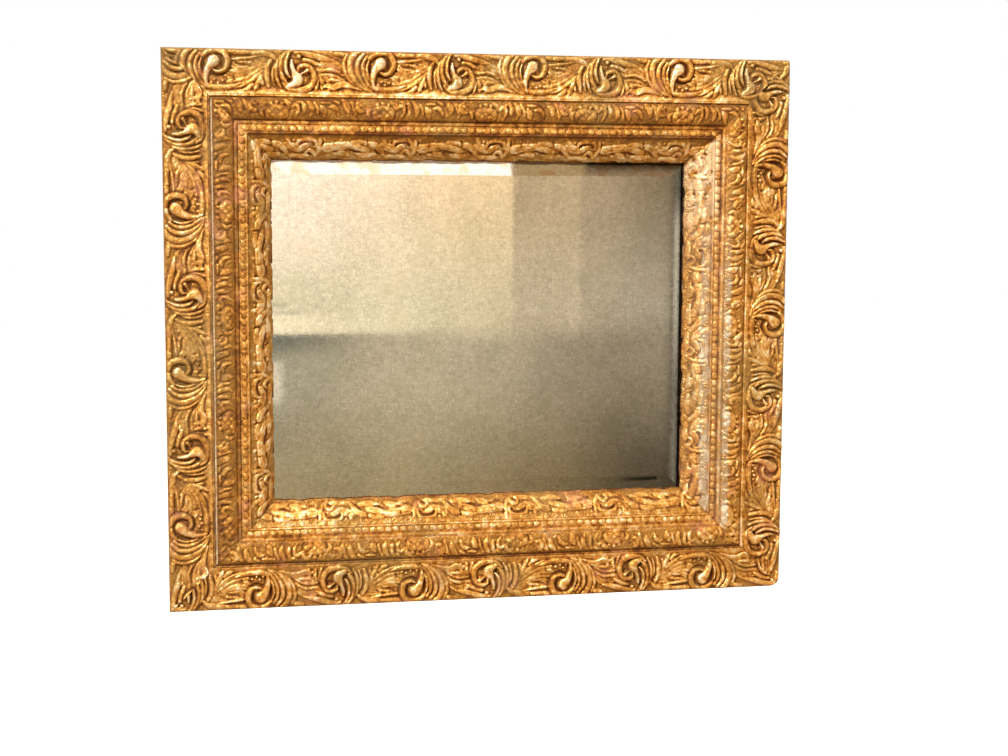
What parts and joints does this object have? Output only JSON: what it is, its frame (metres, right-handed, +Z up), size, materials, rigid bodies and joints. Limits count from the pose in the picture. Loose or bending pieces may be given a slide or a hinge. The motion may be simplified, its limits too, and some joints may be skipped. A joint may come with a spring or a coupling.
{
  "type": "wall mirror",
  "caption": "Rectangular wall mirror: a bevelled plate in a gilt frame of two nested mitred mouldings, with a scroll frieze, a leafed half-round, a bead row and a sloping sight edge.",
  "frame": {"origin": "on the back of the top rail at the middle of its length, 28 mm below the frame's top edge, where the mirror hangs against the wall", "axes": "+X to the viewer's right along the frame's width, +Y into the wall (the mirror faces -Y), +Z up"},
  "size_m": [0.764, 0.05, 0.662],
  "materials": {
    "outer_gilding": "old gilding over gesso, semi-gloss, rubbed and darkened in the recesses",
    "inner_gilding": "old gilding over gesso, semi-gloss, rubbed and darkened in the recesses",
    "silvered_glass": "silvered plate with a narrow bevel, slightly aged",
    "backing_pine": "plain dark board"
  },
  "bodies": {
    "root": {"outer_rail_top": "outer_gilding", "outer_rail_right": "outer_gilding", "outer_rail_bottom": "outer_gilding", "outer_rail_left": "outer_gilding", "inner_rail_top": "inner_gilding", "inner_rail_right": "inner_gilding", "inner_rail_bottom": "inner_gilding", "inner_rail_left": "inner_gilding", "mirror_plate": "silvered_glass", "backing_board": "backing_pine"}
  },
  "joints": []
}
